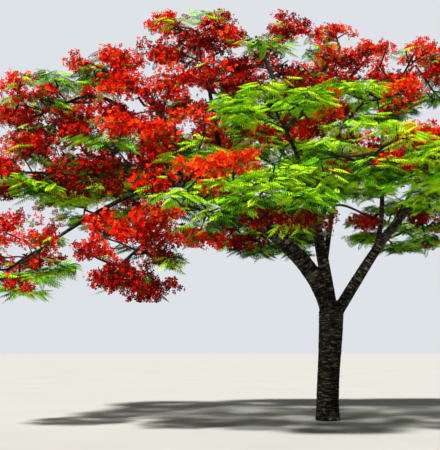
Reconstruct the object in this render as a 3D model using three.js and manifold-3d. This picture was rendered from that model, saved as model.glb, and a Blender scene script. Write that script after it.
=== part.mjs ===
// Flame tree in full bloom: a short stout trunk that forks above head height into arching boughs,
// under a wide, flat-topped, layered crown of feathery leaves and scarlet blossom.
// Millimetres, +Z up. The origin is the middle of the flat cut at ground level.
// -Y is the side that the tree is mostly seen from, so that -X is its left.

import * as THREE from "three";
import { mergeVertices } from "three/addons/utils/BufferGeometryUtils.js";
import Module from "manifold-3d";

const wasm = await Module();
wasm.setup();

// Trunk
const TRUNK_RADIUS = 245;
const FORK_HEIGHT = 2500;
const TRUNK_LEAN = 125; // how far the fork stands to the right of the foot
const LOWER_STRETCH = 0.35; // the share of the trunk's height that rises upright from the ground
const UPPER_STRETCH = 0.35; // and the share that rises nearly upright to the fork
const LEAN_BY_THEN = 0.9; // how much of the lean is reached where that begins
const ROOT_FLARE = 0.12; // extra radius at the ground, as a share
const ROOT_FLARE_HEIGHT = 170;
const ROOT_TOES = 5;
const TOE_DEPTH = 0.45; // how far the flare swells and shrinks from toe to toe, as a share of it
const TOE_TURN = 0.6;
const CROTCH_SHARE = 0.94; // the trunk rounds off above this share of its length
const CROTCH_ROUNDING = 0.8; // how much of its section it loses there
const FORK_SWELLING = 0.12; // extra radius at the fork, to left and right, as a share
const SWELLING_START = 0.4; // the share of the trunk's length at which it begins
const TRUNK_SIDES = 14;
const TRUNK_RINGS = 16;

// Boughs
const BOUGH_TIP_RADIUS = 30;
const TIP_AT_MOST = 0.7; // a side bough's tip, as a share of its radius at the foot
const CHILD_GIRTH = 0.55; // a bough's radius where it leaves its parent, as a share of the parent's
const TAPER_POWER = 0.7;
const COLLAR = 0.25; // swelling at a side bough's foot
const COLLAR_REACH = 1.5; // how far up it fades, in radii of the parent
const LEAVE_HANDLE = 0.3; // how far a bough keeps its first heading, as a share of its span
const ARRIVE_HANDLE = 0.35;
const ENTER = 0.55; // a bough ends this share of the mass's half width short of its middle
const MAIN_DETAIL = { sides: 8, rings: 8 };
const SIDE_DETAIL = { sides: 5, rings: 4 };

// Foliage
const TWIGS = 5;
const STEM_RADIUS = 32; // at the stem's end
const TWIG_RADIUS = 19;
const TWIG_TAPER = 0.85;
const TWIG_REACH = 0.5; // how far out the twigs' ends stand, as a share of the half width
const TWIG_RISE = 0.75; // and how high, as a share of the half height
const TWIG_HEIGHTS = [0.85, -0.65]; // from the first twig to the last, where 1 is the very top
const TWIG_CUTS = [1, 0.85, 0.7, 0.55]; // a twig keeps the first of these shares that fits its space
const TWIG_SLANT = 0.35; // a twig leaves the stem this share of the stem short of its own end
const TWIG_FEET = [0.15, 0.92]; // the part of the stem that bears twigs
const STEM_REACH = 0.3; // the stem runs this share of the half width past the middle
const GOLDEN_ANGLE = Math.PI * (3 - Math.sqrt(5));
const FLATTEN = 1.5; // masses are layered, so a step up or down counts for more than one sideways
const STEM_SIDES = 5;
const TWIG_SIDES = 3;
const LEAF = { length: 1050, width: 540, thick: 20, sunk: 5, widest: 0.45 };
const LEAF_SLOPE = [-0.7, 0.3];
const LEAF_TURN = [0.5, 1.5]; // times the turn that its place on the twig gives it
const LEAF_ROLL = 1.1; // radians either way
const BLOSSOM = { radius: 290, height: 120, petals: 5, dome: 90, sunk: 24, outward: 0.4 };
const BLOSSOM_DRAW = 1000; // keeps the draws for blossom apart from those for leaves

// A twig's leaves: how far along it each stands, and how far it turns off the twig, in radians.
const LEAF_PLACES = [
  [0.4, -1],
  [0.62, 1],
  [0.84, -0.9],
  [0.97, 0.3],
];
// A leaf that finds no room turns and shrinks, and is left out after the last try.
const LEAF_TRIES = 6;
const LEAF_LEAST = 0.65;

const MOSTLY_BLOSSOM = 0.5; // a mass that flowers more than this takes the blossom's colour

const JOINT_GAP = 0.3;
const SPACE_MARGIN = 6; // half the clear air between two neighbouring masses
const LIMB_MARGIN = 12; // clear air between foliage and any limb that isn't its own
const SMOOTHED = 2; // steps smaller than this are left out of a fused mass

// The four stems that carry the crown: their foot's offset in the fork, and their radii.
const MAIN_STEMS = {
  centre_stem: { offset: [10, -70], foot: 144, tip: 56 },
  left_bough: { offset: [-40, 30], foot: 208, tip: 65 },
  right_bough: { offset: [90, 25], foot: 138, tip: 50 },
  back_bough: { offset: [0, 0], foot: 75, tip: 40 },
};

// One row for each bough and the mass of foliage that it carries: the mass, the bough, the limb it
// leaves, how far along that limb, how soon it turns for its mass (0 late, 1 at once), the slope of
// its last stretch, the middle of the mass, its half width and half height, and the share of its
// twigs that end in blossom. A limb stands in the list before what grows from it.
const CROWN = [
  ["top_centre", "centre_stem", "trunk", 0.935, 0.7, 2.6, [-1350, 200, 8400], 1400, 750, 0.9],
  ["left_crown", "left_bough", "trunk", 0.955, 0.3, 0.22, [-4750, -1300, 5500], 1350, 850, 0.8],
  ["right_crown", "right_bough", "trunk", 0.915, 0.88, 0.7, [3100, -500, 5600], 1500, 800, 0.25],
  ["back_crown", "back_bough", "centre_stem", 0.2, 0.9, 0.5, [1000, 3400, 6200], 1750, 950, 0.5],
  ["left_mid", "left_mid_bough", "left_bough", 0.88, 0.5, 0.05, [-6350, -650, 5350], 1250, 950, 0.75],
  ["left_low", "left_low_bough", "left_bough", 0.8, 0.3, -0.7, [-6400, -1500, 3350], 1150, 1000, 0.65],
  ["left_hang", "left_hang_bough", "left_bough", 0.7, 0.4, -0.8, [-4100, -2300, 3350], 1100, 1100, 0.85],
  ["front_left", "front_left_bough", "left_bough", 0.5, 0.5, 0, [-2800, -2900, 4200], 1250, 900, 0.5],
  ["centre_left", "centre_left_bough", "left_bough", 0.58, 0.4, 0.5, [-3150, -1600, 5650], 1200, 750, 0.8],
  ["shoulder", "shoulder_bough", "left_bough", 0.66, 0.5, 1.2, [-3850, -450, 7000], 1300, 850, 0.95],
  ["left_arch", "left_arch_bough", "left_bough", 0.72, 0.1, -0.35, [-6350, 150, 6950], 1300, 900, 0.85],
  ["left_top", "left_top_bough", "left_bough", 0.61, 0.4, 0.6, [-5100, 900, 8150], 950, 600, 0.85],
  ["top_tuft", "top_tuft_bough", "left_bough", 0.55, 0.4, 3, [-2900, 300, 8650], 1350, 700, 0.95],
  ["back_left_out", "back_left_out_bough", "left_bough", 0.64, 0.6, 0.1, [-5500, 2600, 5500], 1650, 950, 0.6],
  ["back_left", "back_left_bough", "left_bough", 0.42, 0.6, 0.5, [-3200, 3000, 6600], 1650, 900, 0.6],
  ["mid_centre", "mid_centre_bough", "centre_stem", 0.5, 0.6, 0.6, [-2400, -500, 7150], 1150, 700, 0.75],
  ["top_right", "top_right_bough", "centre_stem", 0.66, 0.6, 1.2, [200, 800, 8250], 1400, 800, 0.85],
  ["front_mid", "front_mid_bough", "centre_stem", 0.46, 0.6, 0.3, [-1200, -2500, 6150], 1350, 650, 0.15],
  ["heart", "heart_bough", "centre_stem", 0.4, 0.6, 0.3, [-1400, -900, 5600], 1200, 700, 0.15],
  ["front_low", "front_low_bough", "centre_stem", 0.3, 0.7, 0.1, [-1400, -3700, 4350], 1400, 800, 0.2],
  ["front_right", "front_right_bough", "centre_stem", 0.36, 0.7, 0.2, [600, -3000, 5200], 1400, 750, 0.2],
  ["right_green", "right_green_bough", "centre_stem", 0.43, 0.6, 0.7, [700, -1200, 6750], 1300, 650, 0.25],
  ["back_top", "back_top_bough", "centre_stem", 0.55, 0.6, 0.7, [-900, 2500, 7600], 1600, 900, 0.65],
  ["right_top", "right_top_bough", "right_bough", 0.45, 0.4, 1.2, [2100, 700, 7950], 1400, 800, 0.7],
  ["right_low", "right_low_bough", "right_bough", 0.5, 0.6, 0, [2400, -2500, 4700], 1350, 750, 0.2],
  ["right_out", "right_out_bough", "right_bough", 0.72, 0.5, 0.1, [4250, 1000, 5000], 1400, 800, 0.25],
  ["right_back", "right_back_bough", "right_bough", 0.55, 0.5, 0.6, [3200, 2700, 6350], 1500, 900, 0.45],
  ["back_right_low", "back_right_low_bough", "back_bough", 0.62, 0.5, 0, [2600, 4400, 4850], 1500, 850, 0.3],
  ["back_low", "back_low_bough", "back_bough", 0.5, 0.6, 0, [-1000, 4100, 4700], 1650, 900, 0.5],
];

const COLOURS = {
  bark: new THREE.MeshStandardMaterial({ color: 0x6b5d50, roughness: 0.9, metalness: 0 }),
  blossom: new THREE.MeshStandardMaterial({ color: 0xd0240c, roughness: 0.6, metalness: 0 }),
  leaf: new THREE.MeshStandardMaterial({ color: 0x6a9a1e, roughness: 0.65, metalness: 0 }),
};

const UP = new THREE.Vector3(0, 0, 1);
const NEARLY_UPRIGHT = 0.9;
const vector = (a) => new THREE.Vector3(a[0], a[1], a[2]);
const along = (from, heading, far) => from.clone().addScaledVector(heading, far);
const mix = (a, b, t) => a + (b - a) * t;

// The seeded rule that every twig, leaf and blossom follows: an even number from 0 to 1.
function chance(seed, n) {
  const x = Math.sin(seed * 12.9898 + n * 78.233) * 43758.5453;
  return x - Math.floor(x);
}

// Solids

// A closed tube along a curve: a unit cylinder's rings are carried along it without twisting.
// radiusAt takes the share of the way along and the angle round the ring. overrun lengthens both
// ends.
function tube(curve, radiusAt, sides, rings, overrun = 0) {
  const frames = [];
  const upright = Math.abs(curve.getTangent(0).z) > NEARLY_UPRIGHT;
  let side = upright ? new THREE.Vector3(1, 0, 0) : UP.clone();
  for (let i = 0; i <= rings; i++) {
    const heading = curve.getTangent(i / rings);
    side = along(side, heading, -side.dot(heading)).normalize();
    const past = i === 0 ? -overrun : i === rings ? overrun : 0;
    const at = along(curve.getPoint(i / rings), heading, past);
    frames.push({ at, side, other: side.clone().cross(heading) });
  }
  const geometry = new THREE.CylinderGeometry(1, 1, 1, sides, rings);
  const place = geometry.attributes.position;
  const v = new THREE.Vector3();
  for (let i = 0; i < place.count; i++) {
    v.fromBufferAttribute(place, i);
    const share = v.y + 0.5;
    const frame = frames[Math.round(share * rings)];
    const radius = radiusAt(share, Math.atan2(v.z, v.x));
    const point = along(along(frame.at, frame.side, v.x * radius), frame.other, v.z * radius);
    place.setXYZ(i, point.x, point.y, point.z);
  }
  return geometry;
}

function solid(geometry) {
  const bare = geometry.clone();
  bare.deleteAttribute("normal");
  bare.deleteAttribute("uv");
  const merged = mergeVertices(bare, 1e-2);
  return new wasm.Manifold(
    new wasm.Mesh({
      numProp: 3,
      vertProperties: new Float32Array(merged.attributes.position.array),
      triVerts: new Uint32Array(merged.index.array),
    }),
  );
}

const largest = (made) => made.decompose().sort((a, b) => b.volume() - a.volume())[0];

function meshOf(name, made, material) {
  const { vertProperties, triVerts } = made.getMesh();
  const geometry = new THREE.BufferGeometry();
  geometry.setAttribute("position", new THREE.BufferAttribute(vertProperties, 3));
  geometry.setIndex(new THREE.BufferAttribute(triVerts, 1));
  geometry.computeVertexNormals();
  const mesh = new THREE.Mesh(geometry, material);
  mesh.name = name;
  return mesh;
}

// Limbs

// The trunk leans a little, spreads in toes at the ground, swells towards the fork and rounds off in
// its crotch.
function trunkLimb() {
  const curve = new THREE.CubicBezierCurve3(
    vector([0, 0, 0]),
    vector([0, 0, FORK_HEIGHT * LOWER_STRETCH]),
    vector([TRUNK_LEAN * LEAN_BY_THEN, 0, FORK_HEIGHT * (1 - UPPER_STRETCH)]),
    vector([TRUNK_LEAN, 0, FORK_HEIGHT]),
  );
  const radiusAt = (share, angle = 0) => {
    const toes = 1 + TOE_DEPTH * Math.cos(ROOT_TOES * angle + TOE_TURN);
    const flare = ROOT_FLARE * toes * Math.exp((-share * FORK_HEIGHT) / ROOT_FLARE_HEIGHT);
    const rounding = Math.max(0, share - CROTCH_SHARE) / (1 - CROTCH_SHARE);
    const rise = THREE.MathUtils.smoothstep(share, SWELLING_START, CROTCH_SHARE);
    const swelling = FORK_SWELLING * rise * Math.cos(angle) ** 2;
    return TRUNK_RADIUS * (1 + flare + swelling) * Math.sqrt(1 - CROTCH_ROUNDING * rounding ** 2);
  };
  return { name: "trunk", curve, radiusAt, sides: TRUNK_SIDES, rings: TRUNK_RINGS };
}

// A bough leaves its parent between the parent's heading and the way to its mass, and arrives
// there outward bound at the stated slope.
function boughLimb([, name, parentName, share, turn, slope, middle, spread], limbs) {
  const parent = limbs.get(parentName);
  const main = MAIN_STEMS[name];
  const foot = parent.curve.getPoint(share);
  if (parentName === "trunk") foot.add(vector([...main.offset, 0]));
  const centre = vector(middle);
  const outward = centre.clone().sub(foot).setZ(0).normalize();
  const arriving = along(outward, UP, slope).normalize();
  const tip = along(centre, arriving, -ENTER * spread);
  const span = tip.distanceTo(foot);
  const straight = tip.clone().sub(foot).normalize();
  const leaving = parent.curve.getTangent(share).lerp(straight, turn).normalize();
  const curve = new THREE.CubicBezierCurve3(
    foot,
    along(foot, leaving, LEAVE_HANDLE * span),
    along(tip, arriving, -ARRIVE_HANDLE * span),
    tip,
  );
  const parentRadius = parent.radiusAt(share);
  const footRadius = main ? main.foot : CHILD_GIRTH * parentRadius;
  const tipRadius = main ? main.tip : Math.min(BOUGH_TIP_RADIUS, TIP_AT_MOST * footRadius);
  const collar = main ? 0 : COLLAR;
  const radiusAt = (t) =>
    mix(tipRadius, footRadius, (1 - t) ** TAPER_POWER) *
    (1 + collar * Math.exp((-t * span) / (COLLAR_REACH * parentRadius)));
  return { name, curve, radiusAt, tip, arriving, tipRadius, ...(main ? MAIN_DETAIL : SIDE_DETAIL) };
}

// A limb's solid, or the same limb grown a little all over, to cut room for a gap.
const limbSolid = (limb, grow = 0) =>
  solid(tube(limb.curve, (t, angle) => limb.radiusAt(t, angle) + grow, limb.sides, limb.rings, grow));

// Space

// A mass keeps to its own rounded space, and to its own side of the plane halfway to each
// neighbour. Where two masses differ in width, the plane lies nearer to the smaller one.
function nearness(point, mass) {
  const dx = point.x - mass.middle[0];
  const dy = point.y - mass.middle[1];
  const dz = (point.z - mass.middle[2]) * FLATTEN;
  return dx * dx + dy * dy + dz * dz - mass.spread * mass.spread;
}

function inSpace(point, mass, masses) {
  const x = (point.x - mass.middle[0]) / mass.spread;
  const y = (point.y - mass.middle[1]) / mass.spread;
  const z = (point.z - mass.middle[2]) / mass.depth;
  if (x * x + y * y + z * z > 1) return false;
  const own = nearness(point, mass);
  return masses.every((other) => {
    if (other === mass) return true;
    const apart = Math.hypot(
      other.middle[0] - mass.middle[0],
      other.middle[1] - mass.middle[1],
      (other.middle[2] - mass.middle[2]) * FLATTEN,
    );
    return nearness(point, other) - own > 2 * apart * SPACE_MARGIN * FLATTEN;
  });
}

// Foliage

// A leaf: an eight-faced blade whose point is sunk in its twig, rolled a little about its midrib.
function leafGeometry(root, heading, roll, size) {
  const geometry = new THREE.OctahedronGeometry(1);
  const place = geometry.attributes.position;
  for (let i = 0; i < place.count; i++) {
    const end = place.getX(i);
    place.setX(i, LEAF.length * size * (Math.abs(end) < 0.5 ? LEAF.widest : end > 0 ? 1 : 0));
    place.setY(i, (place.getY(i) * LEAF.width * size) / 2);
    place.setZ(i, (place.getZ(i) * LEAF.thick * size) / 2);
  }
  const side = UP.clone().cross(heading).normalize().applyAxisAngle(heading, roll);
  const basis = new THREE.Matrix4().makeBasis(heading, side, heading.clone().cross(side));
  return geometry.applyMatrix4(basis.setPosition(along(root, heading, -LEAF.sunk)));
}

// A spray of blossom: a shallow five-sided cup with a domed top, its point sunk in the twig's end.
function blossomGeometry(root, facing) {
  const geometry = new THREE.ConeGeometry(BLOSSOM.radius, BLOSSOM.height, BLOSSOM.petals);
  const place = geometry.attributes.position;
  for (let i = 0; i < place.count; i++) {
    const onAxis = Math.hypot(place.getX(i), place.getZ(i)) < 1;
    if (onAxis && place.getY(i) < 0) place.setY(i, place.getY(i) - BLOSSOM.dome);
  }
  geometry.translate(0, -BLOSSOM.height / 2, 0);
  const turn = new THREE.Quaternion().setFromUnitVectors(new THREE.Vector3(0, -1, 0), facing);
  geometry.applyQuaternion(turn);
  const at = along(root, facing, -BLOSSOM.sunk);
  return geometry.translate(at.x, at.y, at.z);
}

const corners = (geometry) => {
  const place = geometry.attributes.position;
  return Array.from({ length: place.count }, (_, i) => new THREE.Vector3().fromBufferAttribute(place, i));
};

// Twigs reach from the mass's one stem to points spread evenly round it by the golden angle. Each
// carries leaves on alternate sides and at its end, and many end in a spray of blossom too.
function massSolid(mass, masses, wood) {
  const { bough, seed } = mass;
  const centre = vector(mass.middle);
  const start = along(bough.tip, bough.arriving, JOINT_GAP);
  const end = along(centre, bough.arriving, STEM_REACH * mass.spread);
  const stem = new THREE.LineCurve3(start, end);
  const twigs = [solid(tube(stem, (t) => mix(bough.tipRadius, STEM_RADIUS, t), STEM_SIDES, 1))];
  const blades = [];
  const clear = (made) => wood.intersect(made).isEmpty();
  const addBlade = (geometry) => {
    if (!corners(geometry).every((p) => inSpace(p, mass, masses))) return false;
    const blade = solid(geometry);
    if (blades.some((other) => !other.intersect(blade).isEmpty())) return false;
    if (clear(blade)) blades.push(blade);
    return blades.at(-1) === blade;
  };

  for (let i = 0; i < TWIGS; i++) {
    const height = mix(...TWIG_HEIGHTS, (i + 0.5) / TWIGS);
    const around = GOLDEN_ANGLE * i + 2 * Math.PI * chance(seed, 0);
    const out = Math.sqrt(1 - height * height) * mass.spread * TWIG_REACH;
    const aim = vector([Math.cos(around) * out, Math.sin(around) * out, height * mass.depth * TWIG_RISE]);
    aim.add(centre);
    const reached = aim.clone().sub(start).dot(bough.arriving) / start.distanceTo(end);
    const foot = stem.getPoint(THREE.MathUtils.clamp(reached - TWIG_SLANT, ...TWIG_FEET));
    const cut = TWIG_CUTS.find((share) => inSpace(foot.clone().lerp(aim, share), mass, masses));
    if (!cut) continue;
    const tip = foot.clone().lerp(aim, cut);
    const twig = new THREE.LineCurve3(foot, tip);
    const made = solid(tube(twig, (t) => TWIG_RADIUS * mix(1, TWIG_TAPER, t), TWIG_SIDES, 1));
    if (!clear(made)) continue;
    twigs.push(made);

    const flat = tip.clone().sub(foot).setZ(0).normalize();
    if (chance(seed, BLOSSOM_DRAW + i) < mass.bloom) {
      addBlade(blossomGeometry(tip, along(UP, flat, BLOSSOM.outward).normalize()));
    }
    LEAF_PLACES.forEach(([share, turn], k) => {
      for (let attempt = 0; attempt < LEAF_TRIES; attempt++) {
        const draw = 100 * i + 10 * k + attempt;
        const heading = flat.clone().applyAxisAngle(UP, turn * mix(...LEAF_TURN, chance(seed, draw + 1)));
        heading.z = mix(...LEAF_SLOPE, chance(seed, draw + 2));
        const roll = mix(-LEAF_ROLL, LEAF_ROLL, chance(seed, draw + 3));
        const size = mix(1, LEAF_LEAST, attempt / (LEAF_TRIES - 1));
        if (addBlade(leafGeometry(twig.getPoint(share), heading.normalize(), roll, size))) break;
      }
    });
  }
  return largest(wasm.Manifold.union([...twigs, ...blades])).simplify(SMOOTHED);
}

// The tree

const limbs = new Map([["trunk", trunkLimb()]]);
for (const row of CROWN) limbs.set(row[1], boughLimb(row, limbs));

const tree = new THREE.Group();
const grownLimbs = [];
for (const limb of limbs.values()) {
  const cut = grownLimbs.reduce((left, before) => left.subtract(before), limbSolid(limb));
  tree.add(meshOf(limb.name, largest(cut), COLOURS.bark));
  grownLimbs.push(limbSolid(limb, JOINT_GAP));
}

const masses = CROWN.map(([name, bough, , , , , middle, spread, depth, bloom], i) => ({
  name, bough: limbs.get(bough), middle, spread, depth, bloom, seed: i + 1,
}));
const wood = wasm.Manifold.union([...limbs.values()].map((limb) => limbSolid(limb, LIMB_MARGIN)));
for (const mass of masses) {
  const material = mass.bloom > MOSTLY_BLOSSOM ? COLOURS.blossom : COLOURS.leaf;
  tree.add(meshOf(mass.name, massSolid(mass, masses, wood), material));
}

export default tree;
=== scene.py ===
# A flame tree (royal poinciana) in full bloom: a short trunk that forks above head height into
# arching boughs, under a wide, flat-topped, layered crown of feathery leaves and scarlet blossom.
# Metres, +Z up, ground at z = 0. The tree is mostly seen from -Y.

import bpy
import numpy as np
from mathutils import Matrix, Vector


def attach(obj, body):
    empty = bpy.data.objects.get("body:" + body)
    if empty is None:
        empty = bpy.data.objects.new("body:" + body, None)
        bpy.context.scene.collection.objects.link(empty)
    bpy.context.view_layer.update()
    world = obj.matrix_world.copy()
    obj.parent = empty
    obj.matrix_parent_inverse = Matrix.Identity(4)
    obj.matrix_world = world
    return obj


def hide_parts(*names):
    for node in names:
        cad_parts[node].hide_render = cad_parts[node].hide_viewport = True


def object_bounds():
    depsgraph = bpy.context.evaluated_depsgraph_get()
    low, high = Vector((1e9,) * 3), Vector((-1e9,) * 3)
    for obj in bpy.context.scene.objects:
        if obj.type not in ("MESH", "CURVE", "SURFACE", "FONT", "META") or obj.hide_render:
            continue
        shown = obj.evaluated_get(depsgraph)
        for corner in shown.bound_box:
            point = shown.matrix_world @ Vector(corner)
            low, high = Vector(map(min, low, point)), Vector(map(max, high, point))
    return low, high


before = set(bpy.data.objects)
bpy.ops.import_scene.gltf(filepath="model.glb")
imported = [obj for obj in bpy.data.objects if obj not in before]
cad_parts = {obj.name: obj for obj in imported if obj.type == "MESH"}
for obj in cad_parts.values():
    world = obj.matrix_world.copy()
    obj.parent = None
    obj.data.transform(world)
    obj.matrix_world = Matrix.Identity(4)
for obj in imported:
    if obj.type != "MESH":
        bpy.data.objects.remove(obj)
cad_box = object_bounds()


# The trunk and the limbs' middle lines
# Living wood. The trunk leans a little and rounds off in the crotch of its fork, where four stems
# rise: one arching far to the left, one in the middle, one to the right and a thin one to the back.
# Every other bough leaves a stem and carries one mass of foliage.

TRUNK_RADIUS = 0.245
FORK_HEIGHT = 2.5
TRUNK_LEAN = 0.125  # how far the fork stands to the right of the foot
LOWER_STRETCH = 0.35  # the trunk's two handles, as shares of its height
UPPER_STRETCH = 0.35
LEAN_BY_THEN = 0.9  # the share of the lean at the upper handle
ROOT_FLARE = 0.12  # as a share of the trunk's radius
ROOT_FLARE_HEIGHT = 0.17
ROOT_TOES = 5
TOE_DEPTH = 0.45  # as a share of the flare
TOE_TURN = 0.6
CROTCH_SHARE = 0.94  # how far up the trunk starts to round off in the crotch
CROTCH_ROUNDING = 0.8
FORK_SWELLING = 0.12
SWELLING_START = 0.4  # how far up the trunk it starts

BOUGH_TIP_RADIUS = 0.03
TIP_AT_MOST = 0.7  # as a share of the bough's own foot
CHILD_GIRTH = 0.55  # a side bough's foot, as a share of the limb that it leaves
TAPER_POWER = 0.7
COLLAR = 0.25
COLLAR_REACH = 1.5  # in radii of the limb that the bough leaves
LEAVE_HANDLE = 0.3  # a bough's two handles, as shares of its span
ARRIVE_HANDLE = 0.35
ENTER = 0.55  # how far before its mass's middle a bough ends, in half widths
STEEP = 0.9  # the height of a unit heading that counts as upright

# A stem's offset in the fork, its radius at the foot and at the tip.
MAIN_STEMS = {
    "centre_stem": ((0.01, -0.07), 0.144, 0.056),
    "left_bough": ((-0.04, 0.03), 0.208, 0.065),
    "right_bough": ((0.09, 0.025), 0.138, 0.05),
    "back_bough": ((0, 0), 0.075, 0.04),
}

# Each mass of foliage, the limb that its bough leaves, how far along that limb, how soon the bough
# turns for its mass, the slope of its last stretch, the middle of the mass, its half width and half
# height, and the share of its twigs that flower.
MASSES = [
    ("top_centre", "trunk", 0.935, 0.7, 2.6, (-1.35, 0.2, 8.4), 1.4, 0.75, 0.9),
    ("left_crown", "trunk", 0.955, 0.3, 0.22, (-4.75, -1.3, 5.5), 1.35, 0.85, 0.8),
    ("right_crown", "trunk", 0.915, 0.88, 0.7, (3.1, -0.5, 5.6), 1.5, 0.8, 0.25),
    ("back_crown", "centre_stem", 0.2, 0.9, 0.5, (1, 3.4, 6.2), 1.75, 0.95, 0.5),
    ("left_mid", "left_bough", 0.88, 0.5, 0.05, (-6.35, -0.65, 5.35), 1.25, 0.95, 0.75),
    ("left_low", "left_bough", 0.8, 0.3, -0.7, (-6.4, -1.5, 3.35), 1.15, 1, 0.65),
    ("left_hang", "left_bough", 0.7, 0.4, -0.8, (-4.1, -2.3, 3.35), 1.1, 1.1, 0.85),
    ("front_left", "left_bough", 0.5, 0.5, 0, (-2.8, -2.9, 4.2), 1.25, 0.9, 0.5),
    ("centre_left", "left_bough", 0.58, 0.4, 0.5, (-3.15, -1.6, 5.65), 1.2, 0.75, 0.8),
    ("shoulder", "left_bough", 0.66, 0.5, 1.2, (-3.85, -0.45, 7), 1.3, 0.85, 0.95),
    ("left_arch", "left_bough", 0.72, 0.1, -0.35, (-6.35, 0.15, 6.95), 1.3, 0.9, 0.85),
    ("left_top", "left_bough", 0.61, 0.4, 0.6, (-5.1, 0.9, 8.15), 0.95, 0.6, 0.85),
    ("top_tuft", "left_bough", 0.55, 0.4, 3, (-2.9, 0.3, 8.65), 1.35, 0.7, 0.95),
    ("back_left_out", "left_bough", 0.64, 0.6, 0.1, (-5.5, 2.6, 5.5), 1.65, 0.95, 0.6),
    ("back_left", "left_bough", 0.42, 0.6, 0.5, (-3.2, 3, 6.6), 1.65, 0.9, 0.6),
    ("mid_centre", "centre_stem", 0.5, 0.6, 0.6, (-2.4, -0.5, 7.15), 1.15, 0.7, 0.75),
    ("top_right", "centre_stem", 0.66, 0.6, 1.2, (0.2, 0.8, 8.25), 1.4, 0.8, 0.85),
    ("front_mid", "centre_stem", 0.46, 0.6, 0.3, (-1.2, -2.5, 6.15), 1.35, 0.65, 0.15),
    ("heart", "centre_stem", 0.4, 0.6, 0.3, (-1.4, -0.9, 5.6), 1.2, 0.7, 0.15),
    ("front_low", "centre_stem", 0.3, 0.7, 0.1, (-1.4, -3.7, 4.35), 1.4, 0.8, 0.2),
    ("front_right", "centre_stem", 0.36, 0.7, 0.2, (0.6, -3, 5.2), 1.4, 0.75, 0.2),
    ("right_green", "centre_stem", 0.43, 0.6, 0.7, (0.7, -1.2, 6.75), 1.3, 0.65, 0.25),
    ("back_top", "centre_stem", 0.55, 0.6, 0.7, (-0.9, 2.5, 7.6), 1.6, 0.9, 0.65),
    ("right_top", "right_bough", 0.45, 0.4, 1.2, (2.1, 0.7, 7.95), 1.4, 0.8, 0.7),
    ("right_low", "right_bough", 0.5, 0.6, 0, (2.4, -2.5, 4.7), 1.35, 0.75, 0.2),
    ("right_out", "right_bough", 0.72, 0.5, 0.1, (4.25, 1, 5), 1.4, 0.8, 0.25),
    ("right_back", "right_bough", 0.55, 0.5, 0.6, (3.2, 2.7, 6.35), 1.5, 0.9, 0.45),
    ("back_right_low", "back_bough", 0.62, 0.5, 0, (2.6, 4.4, 4.85), 1.5, 0.85, 0.3),
    ("back_low", "back_bough", 0.5, 0.6, 0, (-1, 4.1, 4.7), 1.65, 0.9, 0.5),
]
STEM_NAMES = {
    "top_centre": "centre_stem",
    "left_crown": "left_bough",
    "right_crown": "right_bough",
    "back_crown": "back_bough",
}
CROWN = [(mass, STEM_NAMES.get(mass, mass + "_bough"), *rest) for mass, *rest in MASSES]

UP = np.array([0.0, 0.0, 1.0])


def unit(v):
    """Vectors along the last axis, each divided by its own length."""
    return v / np.maximum(np.linalg.norm(v, axis=-1, keepdims=True), 1e-9)


def on_curve(points, t):
    """A cubic curve: its four points, each weighted by its Bernstein share at t."""
    t = np.asarray(t, float)[..., None]
    a, b, c, d = points
    return (1 - t) ** 3 * a + 3 * (1 - t) ** 2 * t * b + 3 * (1 - t) * t**2 * c + t**3 * d


def curve_heading(points, t):
    """The unit direction of the same curve: the weighted differences of its points."""
    t = np.asarray(t, float)[..., None]
    a, b, c, d = points
    return unit((1 - t) ** 2 * (b - a) + 2 * (1 - t) * t * (c - b) + t**2 * (d - c))


def trunk_radius(t, angle):
    """Even girth, times a flare with toes that fades upwards and a swelling to left and right that
    rises smoothly to the fork, rounded off above the crotch share."""
    toes = 1 + TOE_DEPTH * np.cos(ROOT_TOES * angle + TOE_TURN)
    flare = ROOT_FLARE * toes * np.exp(-t * FORK_HEIGHT / ROOT_FLARE_HEIGHT)
    rounding = np.maximum(0, t - CROTCH_SHARE) / (1 - CROTCH_SHARE)
    rise = np.clip((t - SWELLING_START) / (CROTCH_SHARE - SWELLING_START), 0, 1)
    swelling = FORK_SWELLING * rise**2 * (3 - 2 * rise) * np.cos(angle) ** 2
    return TRUNK_RADIUS * (1 + flare + swelling) * np.sqrt(1 - CROTCH_ROUNDING * rounding**2)


def bough_radius(limb, t):
    """From the foot's radius to the tip's by a power of the way left, with a collar at the foot."""
    foot, tip = limb["girths"]
    collar = limb["collar"] * np.exp(-t * limb["span"] / (COLLAR_REACH * limb["parent_radius"]))
    return (tip + (foot - tip) * (1 - t) ** TAPER_POWER) * (1 + collar)


def radius_at(limb, t, angle=0):
    """The radius of the trunk or of a bough, at the share t of its length and an angle round it."""
    if limb["name"] == "trunk":
        return trunk_radius(t, angle)
    return bough_radius(limb, t) + 0 * angle


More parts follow.
